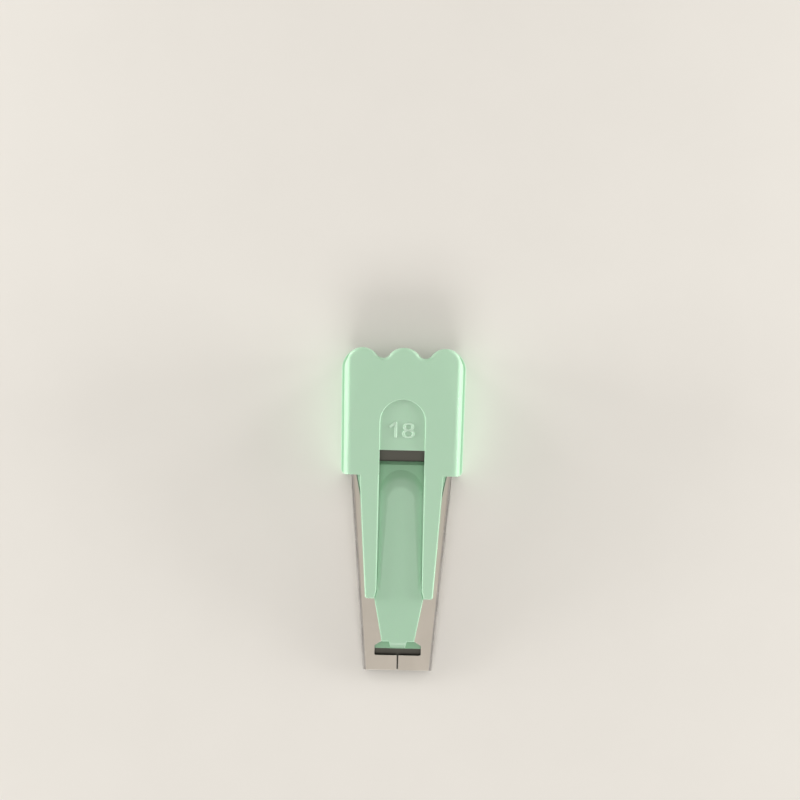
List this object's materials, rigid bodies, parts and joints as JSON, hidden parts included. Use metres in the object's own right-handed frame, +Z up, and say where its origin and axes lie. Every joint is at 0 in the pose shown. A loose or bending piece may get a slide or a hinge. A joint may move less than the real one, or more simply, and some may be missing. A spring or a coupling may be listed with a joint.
{
  "type": "bias tape maker",
  "caption": "Hand tool that folds a cloth strip into bias tape: a moulded body with skirts and rails over a tapered rolled sheet channel with a folding tip.",
  "frame": {"origin": "on the table, at the middle of the length and width, with the maker standing on its foot and its tip", "axes": "+Y from the tip to the mouth, +Z up, +X to the right seen from above with the mouth away from the viewer"},
  "size_m": [0.0346, 0.0901, 0.0164],
  "materials": {
    "cover_plastic": "pale mint green, smooth moulded, soft sheen",
    "former_plastic": "pale mint green, smooth moulded, soft sheen",
    "channel_metal": "bright plated sheet with fine drawing lines along its length"
  },
  "bodies": {
    "root": {"top_cover": "cover_plastic", "inner_former": "former_plastic", "folding_channel": "channel_metal"}
  },
  "joints": []
}
